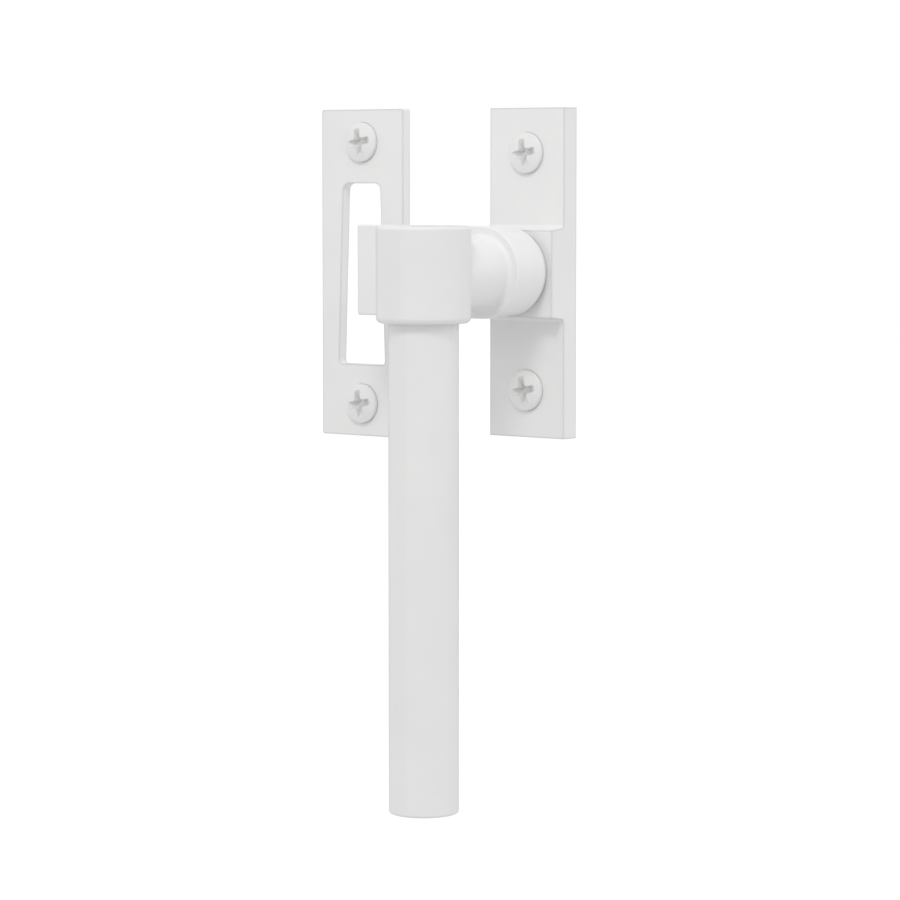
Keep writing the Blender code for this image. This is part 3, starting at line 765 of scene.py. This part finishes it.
def make_head(material):
    low, high = box_mm("handle_head")
    centre = (low + high) / 2
    radius = (high.x - low.x) / 2
    grip_low, grip_high = box_mm("grip_bar")
    grip_radius = (grip_high.x - grip_low.x) / 2
    mouth = grip_radius + SEAM
    socket_top = grip_high.z + SEAM
    profile = quarter(POCKET_RADIUS + POCKET_EDGE, high.z - POCKET_EDGE, POCKET_EDGE,
                      180, 90, steps=3)
    profile += quarter(radius - HEAD_TOP_EDGE, high.z - HEAD_TOP_EDGE, HEAD_TOP_EDGE,
                       90, 0, steps=8)
    profile += quarter(radius - HEAD_BOTTOM_EDGE, low.z + HEAD_BOTTOM_EDGE, HEAD_BOTTOM_EDGE,
                       0, -90, steps=8)
    profile += quarter(mouth + POCKET_EDGE, low.z + POCKET_EDGE, POCKET_EDGE,
                       -90, -180, steps=4)
    profile += [(mouth, socket_top), (BOLT_HOLE_RADIUS, socket_top),
                (BOLT_HOLE_RADIUS, POCKET_FLOOR), (POCKET_RADIUS, POCKET_FLOOR)]
    head = lathe("handle_head_coated", profile, (0.0, centre.y, 0.0))
    finish_piece(head, "handle", "handle_head", material)


def make_grip(material):
    low, high = box_mm("grip_bar")
    centre = (low + high) / 2
    radius = (high.x - low.x) / 2
    profile = rod_profile(radius, high.z, low.z, GRIP_TOP_EDGE, GRIP_EDGE)
    grip = lathe("grip_bar_coated", profile, (0.0, centre.y, 0.0))
    finish_piece(grip, "handle", "grip_bar", material)


def make_head_cap(material):
    low, high = box_mm("head_cap")
    centre = (low + high) / 2
    radius = POCKET_RADIUS - SEAM
    flat = radius - CAP_EDGE
    steps = 6
    crown = [flat * i / steps for i in range(steps)]
    profile = [(r, high.z - CAP_CROWN * (r / flat) ** 2) for r in crown]
    profile += quarter(flat, high.z - CAP_CROWN - CAP_EDGE, CAP_EDGE, 90, 0)
    profile += [(radius, low.z), (0.0, low.z)]
    cap = lathe("head_cap_moulded", profile, (0.0, centre.y, 0.0))
    finish_piece(cap, "handle", "head_cap", material)


def make_rear_rings(steel, nylon, bronze):
    """The stack on the rear end of the spindle, seen in the counterbore."""
    rows = (
        ("steel_washer", "handle", steel, "zinc_steel", RING_EDGE),
        ("rear_nylon_washer", "handle", nylon, "nylon", RING_EDGE),
        ("pivot_bush", "plates", bronze, "bronze", BUSH_EDGE),
        ("front_nylon_washer", "plates", nylon, "nylon", RING_EDGE),
    )
    for node, body, material, slot, edge in rows:
        low, high = box_mm(node)
        outer = (high.x - low.x) / 2
        inner = BUSH_BORE if node == "pivot_bush" else WASHER_BORE
        ring = lathe(f"{node}_turned", ring_profile(outer, inner, -high.y, -low.y, edge),
                     rotation=FACING_ROOM)
        finish_piece(ring, body, node, material)


def repaint(nodes, material):
    for name in nodes:
        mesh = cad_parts[name].data
        mesh.materials.clear()
        mesh.materials.append(material)


# ---------------------------------------------------------------- stage, light and camera

def make_floor():
    bm = bmesh.new()
    bmesh.ops.create_circle(bm, cap_ends=True, segments=SMALL_STEPS,
                              radius=FLOOR_RADIUS_METRES)
    floor = mesh_object("floor", bm, (0.0, 0.0, FLOOR_HEIGHT))
    nodes = Nodes("pale_floor")
    speckle = nodes.remap(nodes.noise(FLOOR_CLOUD_SCALE, detail=3.0), 0.0, 1.0)
    nodes.link(nodes.blend(speckle, *FLOOR_TONES), nodes.shader.inputs["Base Color"])
    nodes.shader.inputs["Roughness"].default_value = FLOOR_ROUGHNESS
    nodes.shader.inputs["Emission Color"].default_value = PURE_WHITE
    nodes.shader.inputs["Emission Strength"].default_value = FLOOR_GLOW
    floor.data.materials.append(nodes.material)
    floor.visible_diffuse = False
    floor.visible_glossy = False


def room_direction(azimuth, elevation):
    """Unit vector into the room, turned to the right by azimuth and raised by elevation."""
    return Vector((math.sin(azimuth) * math.cos(elevation),
                   -math.cos(azimuth) * math.cos(elevation), math.sin(elevation)))


def make_lamp(name, azimuth, elevation, power):
    data = bpy.data.lights.new(name, "AREA")
    data.shape = "DISK"
    data.size = LAMP_SIZE_METRES
    data.energy = power
    lamp = bpy.data.objects.new(name, data)
    towards = room_direction(azimuth, elevation)
    lamp.location = AIM + towards * LAMP_DISTANCE_METRES
    lamp.rotation_euler = (-towards).to_track_quat("-Z", "Y").to_euler()
    lamp.visible_camera = False
    bpy.context.scene.collection.objects.link(lamp)


def make_world():
    """A white tent with a grey card far behind; the camera sees it as plain white."""
    world = bpy.data.worlds.new("white_tent")
    bpy.context.scene.world = world
    world.use_nodes = True
    tree = world.node_tree
    direction = tree.nodes.new("ShaderNodeTexCoord").outputs["Generated"]

    def along(vector):
        node = tree.nodes.new("ShaderNodeVectorMath")
        node.operation = "DOT_PRODUCT"
        tree.links.new(direction, node.inputs[0])
        node.inputs[1].default_value = vector
        return node.outputs["Value"]

    def combined(operation, first, second):
        node = tree.nodes.new("ShaderNodeMath")
        node.operation = operation
        tree.links.new(first, node.inputs[0])
        if isinstance(second, float):
            node.inputs[1].default_value = second
        else:
            tree.links.new(second, node.inputs[1])
        return node.outputs["Value"]

    card = tree.nodes.new("ShaderNodeMapRange")
    card.inputs["From Min"].default_value = math.cos(CARD_OUTER)
    card.inputs["From Max"].default_value = math.cos(CARD_INNER)
    card.inputs["To Min"].default_value = 1.0
    card.inputs["To Max"].default_value = CARD_TONE
    tree.links.new(along(room_direction(CARD_AZIMUTH, 0.0)), card.inputs["Value"])
    tent = combined("ADD", along(TENT_RISE), TENT_MEAN)
    background = tree.nodes["Background"]
    background.inputs["Color"].default_value = PURE_WHITE
    tree.links.new(combined("MULTIPLY", tent, card.outputs["Result"]),
                   background.inputs["Strength"])
    seen = tree.nodes.new("ShaderNodeBackground")
    seen.inputs["Color"].default_value = PURE_WHITE
    path = tree.nodes.new("ShaderNodeLightPath")
    choice = tree.nodes.new("ShaderNodeMixShader")
    tree.links.new(path.outputs["Is Camera Ray"], choice.inputs["Fac"])
    tree.links.new(background.outputs["Background"], choice.inputs[1])
    tree.links.new(seen.outputs["Background"], choice.inputs[2])
    tree.links.new(choice.outputs["Shader"], tree.nodes["World Output"].inputs["Surface"])


def make_camera():
    data = bpy.data.cameras.new("camera")
    data.lens = LENS
    data.sensor_width = SENSOR_WIDTH
    data.clip_start, data.clip_end = CLIP_METRES
    camera = bpy.data.objects.new("camera", data)
    back = room_direction(AZIMUTH, ELEVATION)
    camera.location = AIM + back * CAMERA_DISTANCE_METRES
    camera.rotation_euler = (-back).to_track_quat("-Z", "Y").to_euler()
    bpy.context.scene.collection.objects.link(camera)
    bpy.context.scene.camera = camera


def main():
    # Each coating's grey and its edge and recess amounts set its painted shade along edges and in
    # recesses.
    white = coating(
        "white_powder_coat", white=(0.86, 0.86, 0.856), shade=(0.84, 0.841, 0.838),
        painted_shade_grey=(0.54, 0.54, 0.54), edge_shade=1.0, recess_shade=0.3, roughness=0.42,
        peel_strength=0.25)
    # A darker copy of the white coat for the head and grip: painted shade for their round faces,
    # which in truth are the same white as the plates.
    shaded_bar_white = coating(
        "white_coat_painted_shade_bar", white=(0.822, 0.822, 0.818), shade=(0.802, 0.803, 0.80),
        painted_shade_grey=(0.51, 0.51, 0.51), edge_shade=1.0, recess_shade=0.1, roughness=0.42,
        peel_strength=0.25)
    enamel = coating(
        "white_screw_enamel", white=(0.83, 0.83, 0.825), shade=(0.81, 0.81, 0.807),
        painted_shade_grey=(0.50, 0.50, 0.50), edge_shade=0.3, recess_shade=0.3, roughness=0.32,
        peel_strength=0.15)
    zinc = plated_steel(
        "zinc_plated_steel", light=(0.66, 0.66, 0.64), dark=(0.52, 0.53, 0.53), roughness=0.34)
    spring = plated_steel(
        "dark_spring_steel", light=(0.30, 0.29, 0.28), dark=(0.20, 0.19, 0.18), roughness=0.42)
    bronze = plated_steel(
        "bearing_bronze", light=(0.62, 0.45, 0.22), dark=(0.52, 0.36, 0.17), roughness=0.36)
    nylon = moulded(
        "natural_nylon", light=(0.78, 0.77, 0.72), dark=(0.72, 0.71, 0.66), roughness=0.5)
    cap = moulded(
        "white_cap_plastic", light=(0.79, 0.79, 0.78), dark=(0.76, 0.76, 0.755), roughness=0.45)
    make_back_plate(white)
    make_strike_plate(white)
    for label in ("upper", "lower"):
        make_screw(f"back_plate_screw_{label}", PLATE_THICKNESS, enamel, zinc)
        make_screw(f"strike_plate_screw_{label}", -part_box("strike_plate")[0].y / MM, enamel, zinc)
    make_cam_body(white)
    make_head(shaded_bar_white)
    make_grip(shaded_bar_white)
    make_head_cap(cap)
    make_rear_rings(zinc, nylon, bronze)
    repaint(("spindle", "grip_bolt", "bolt_washer", "stop_pin"), zinc)
    repaint(("wave_washer", "retaining_ring"), spring)
    make_floor()
    make_world()
    for name, (azimuth, elevation, power) in LAMPS.items():
        make_lamp(name, azimuth, elevation, power)
    make_camera()
    scene = bpy.context.scene
    scene.view_settings.view_transform = "Standard"
    scene.view_settings.look = "None"


main()
